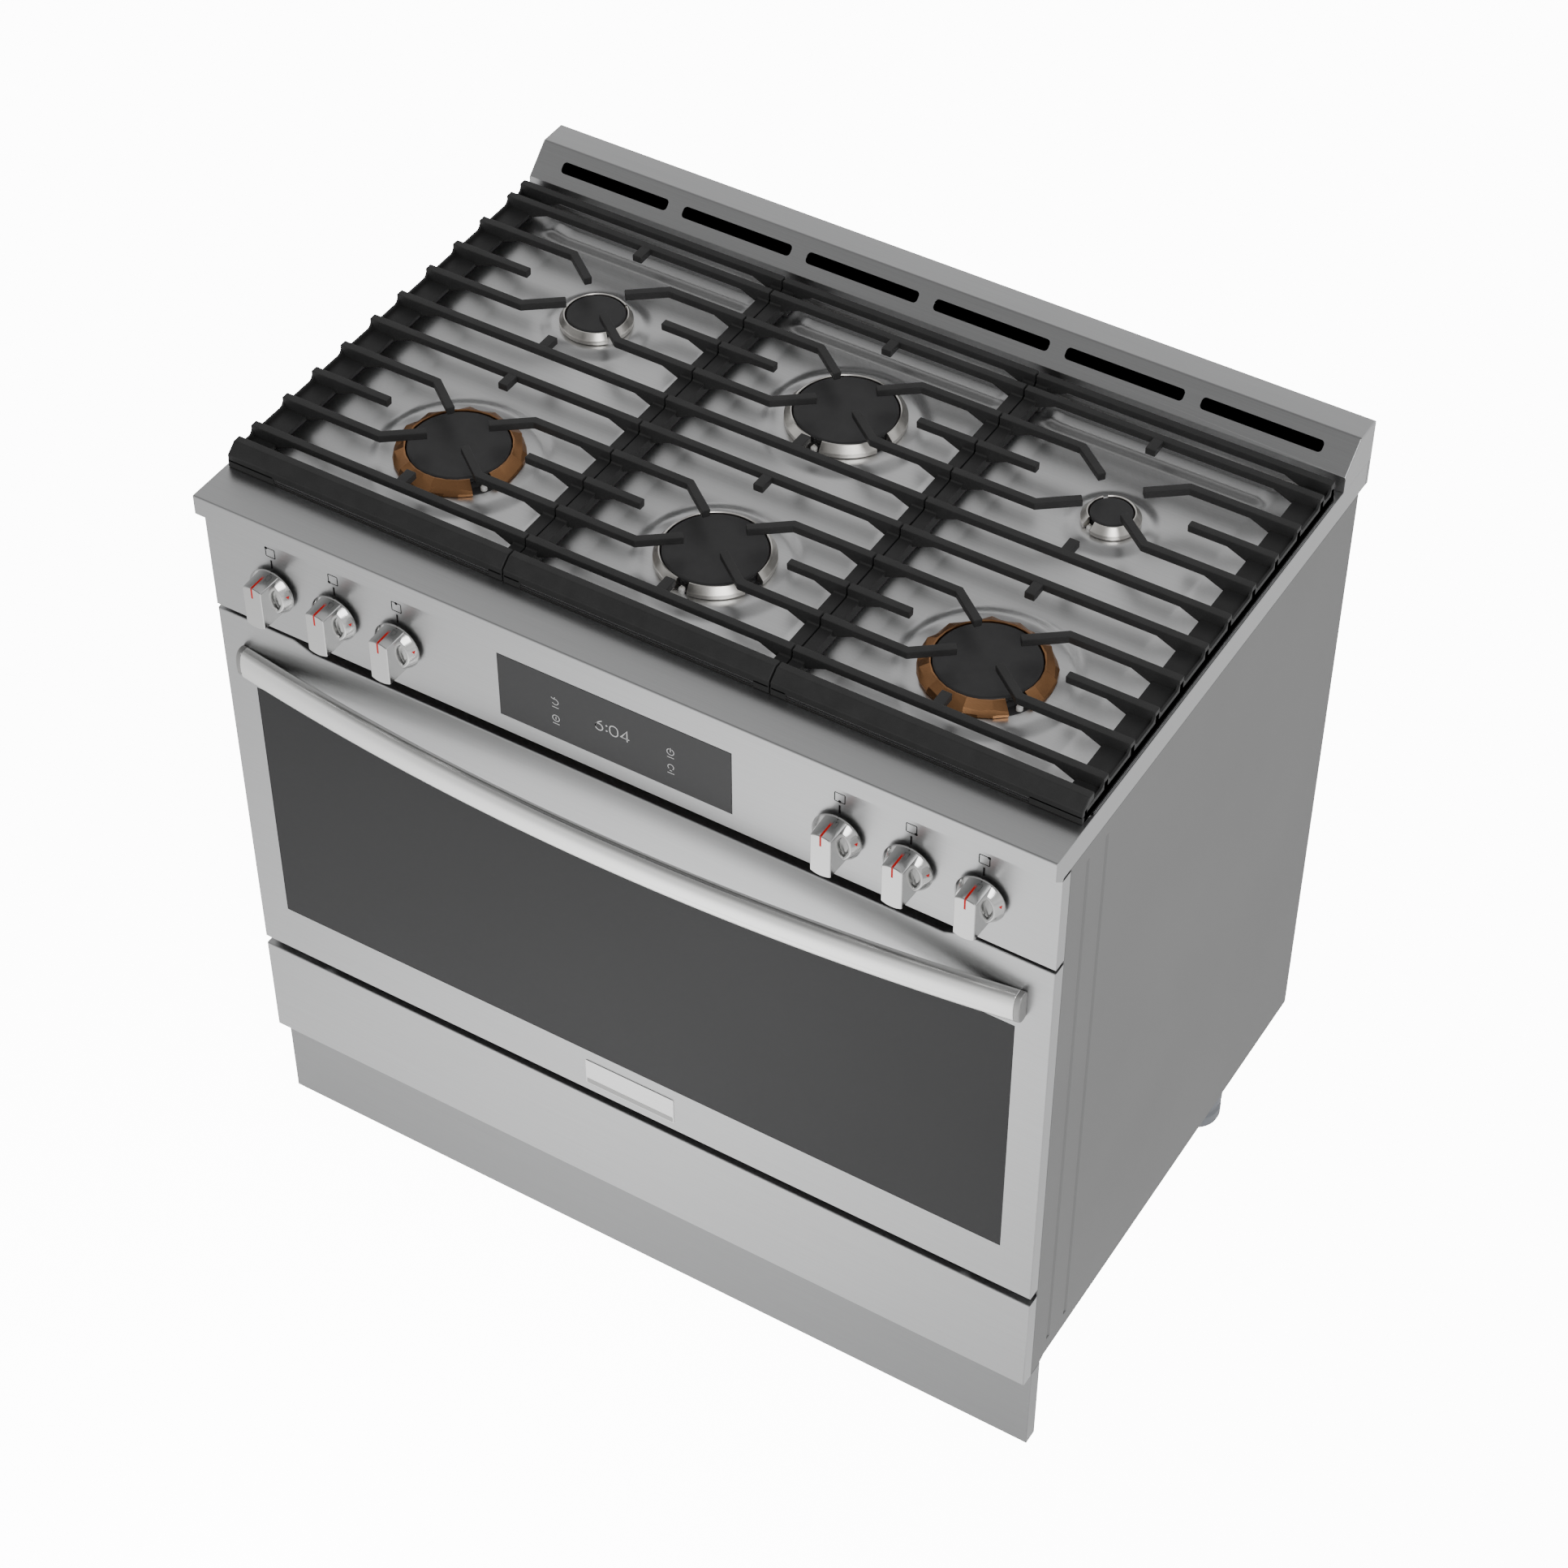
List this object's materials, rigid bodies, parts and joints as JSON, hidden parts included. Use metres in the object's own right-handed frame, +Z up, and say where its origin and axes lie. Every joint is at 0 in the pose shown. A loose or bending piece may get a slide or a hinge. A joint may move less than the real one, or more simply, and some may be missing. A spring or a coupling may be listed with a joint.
{
  "type": "freestanding gas range",
  "caption": "Wide freestanding gas range with cast grates, turned knobs, touch display, windowed drop-down oven door and a low storage drawer.",
  "frame": {"origin": "on the floor, at the middle of the width and of the depth", "axes": "+X to the right seen from the front, +Y towards the back, +Z up"},
  "size_m": [0.911, 0.6536, 0.9167],
  "materials": {
    "stainless": "brushed across the width",
    "bright_metal": "satin, bright",
    "side_paint": "satin grey",
    "galvanised": "dull zinc",
    "foot_plastic": "matte",
    "display_glass": "smooth, dark grey",
    "window_glass": "smooth, smoked",
    "inner_glass": "clear",
    "oven_enamel": "glossy enamel",
    "rack_wire": "polished",
    "brass": "plain",
    "gasket_braid": "braided",
    "cap_enamel": "matte black enamel",
    "copper_ring": "copper coloured",
    "steel_ring": "satin",
    "cast_iron": "matte black"
  },
  "bodies": {
    "range_body": {"right_side_panel": "side_paint", "left_side_panel": "side_paint", "rear_panel": "galvanised", "base_frame": "galvanised", "bake_burner": "galvanised", "broil_burner": "galvanised", "fan_motor": "galvanised", "door_hinge_left": "galvanised", "door_hinge_right": "galvanised", "levelling_leg_front_left": "foot_plastic", "levelling_leg_front_right": "foot_plastic", "levelling_leg_rear_left": "foot_plastic", "levelling_leg_rear_right": "foot_plastic", "toe_kick_panel": "stainless", "cooktop": "stainless", "backguard": "stainless", "control_console": "stainless", "display_glass": "display_glass", "oven_cavity": "oven_enamel", "fan_cover": "oven_enamel", "upper_rack": "rack_wire", "lower_rack": "rack_wire", "gas_manifold": "brass", "pressure_regulator": "brass", "door_gasket": "gasket_braid", "burner_cap_front_left": "cap_enamel", "burner_cap_front_centre": "cap_enamel", "burner_cap_front_right": "cap_enamel", "burner_cap_rear_left": "cap_enamel", "burner_cap_rear_centre": "cap_enamel", "burner_cap_rear_right": "cap_enamel", "burner_base_front_left": "copper_ring", "burner_base_front_right": "copper_ring", "burner_base_front_centre": "steel_ring", "burner_base_rear_left": "steel_ring", "burner_base_rear_centre": "steel_ring", "burner_base_rear_right": "steel_ring"},
    "oven_door": {"door_outer_panel": "stainless", "door_window_glass": "window_glass", "door_inner_panel": "oven_enamel", "door_inner_glass": "inner_glass", "oven_door_handle": "bright_metal"},
    "drawer": {"drawer_front": "stainless", "drawer_pan": "galvanised"},
    "fan": {"convection_fan": "galvanised"},
    "left_grate": {"grate_left": "cast_iron"},
    "centre_grate": {"grate_centre": "cast_iron"},
    "right_grate": {"grate_right": "cast_iron"},
    "stem_1": {"valve_stem_1": "brass"},
    "knob_1": {"burner_knob_1": "bright_metal"},
    "stem_2": {"valve_stem_2": "brass"},
    "knob_2": {"burner_knob_2": "bright_metal"},
    "stem_3": {"valve_stem_3": "brass"},
    "knob_3": {"burner_knob_3": "bright_metal"},
    "stem_4": {"valve_stem_4": "brass"},
    "knob_4": {"burner_knob_4": "bright_metal"},
    "stem_5": {"valve_stem_5": "brass"},
    "knob_5": {"burner_knob_5": "bright_metal"},
    "stem_6": {"valve_stem_6": "brass"},
    "knob_6": {"burner_knob_6": "bright_metal"}
  },
  "joints": [
    {"name": "oven_door_hinge", "type": "hinge", "parent": "range_body", "child": "oven_door", "pos_m": [0, -0.27005, 0.259], "axis": [1, 0, 0], "range_deg": [0, 90]},
    {"name": "drawer_slide", "type": "slide", "parent": "range_body", "child": "drawer", "axis": [0, -1, 0], "range_m": [0, 0.38]},
    {"name": "convection_fan_spin", "type": "hinge", "parent": "range_body", "child": "fan", "pos_m": [0, 0.21785, 0.49245], "axis": [0, 1, 0], "continuous": true},
    {"name": "left_grate_lift", "type": "slide", "parent": "range_body", "child": "left_grate", "axis": [0, 0, 1], "range_m": [0, 0.15]},
    {"name": "centre_grate_lift", "type": "slide", "parent": "range_body", "child": "centre_grate", "axis": [0, 0, 1], "range_m": [0, 0.15]},
    {"name": "right_grate_lift", "type": "slide", "parent": "range_body", "child": "right_grate", "axis": [0, 0, 1], "range_m": [0, 0.15]},
    {"name": "knob_1_push", "type": "slide", "parent": "range_body", "child": "stem_1", "axis": [0, 1, 0], "range_m": [0, 0.003], "stiffness_N_per_m": 900},
    {"name": "knob_1_turn", "type": "hinge", "parent": "stem_1", "child": "knob_1", "pos_m": [-0.3805, -0.27865, 0.7805], "axis": [0, -1, 0], "range_deg": [0, 270]},
    {"name": "knob_2_push", "type": "slide", "parent": "range_body", "child": "stem_2", "axis": [0, 1, 0], "range_m": [0, 0.003], "stiffness_N_per_m": 900},
    {"name": "knob_2_turn", "type": "hinge", "parent": "stem_2", "child": "knob_2", "pos_m": [-0.3085, -0.27865, 0.7805], "axis": [0, -1, 0], "range_deg": [0, 270]},
    {"name": "knob_3_push", "type": "slide", "parent": "range_body", "child": "stem_3", "axis": [0, 1, 0], "range_m": [0, 0.003], "stiffness_N_per_m": 900},
    {"name": "knob_3_turn", "type": "hinge", "parent": "stem_3", "child": "knob_3", "pos_m": [-0.2365, -0.27865, 0.7805], "axis": [0, -1, 0], "range_deg": [0, 270]},
    {"name": "knob_4_push", "type": "slide", "parent": "range_body", "child": "stem_4", "axis": [0, 1, 0], "range_m": [0, 0.003], "stiffness_N_per_m": 900},
    {"name": "knob_4_turn", "type": "hinge", "parent": "stem_4", "child": "knob_4", "pos_m": [0.2365, -0.27865, 0.7805], "axis": [0, -1, 0], "range_deg": [0, 270]},
    {"name": "knob_5_push", "type": "slide", "parent": "range_body", "child": "stem_5", "axis": [0, 1, 0], "range_m": [0, 0.003], "stiffness_N_per_m": 900},
    {"name": "knob_5_turn", "type": "hinge", "parent": "stem_5", "child": "knob_5", "pos_m": [0.3085, -0.27865, 0.7805], "axis": [0, -1, 0], "range_deg": [0, 270]},
    {"name": "knob_6_push", "type": "slide", "parent": "range_body", "child": "stem_6", "axis": [0, 1, 0], "range_m": [0, 0.003], "stiffness_N_per_m": 900},
    {"name": "knob_6_turn", "type": "hinge", "parent": "stem_6", "child": "knob_6", "pos_m": [0.3805, -0.27865, 0.7805], "axis": [0, -1, 0], "range_deg": [0, 270]}
  ]
}
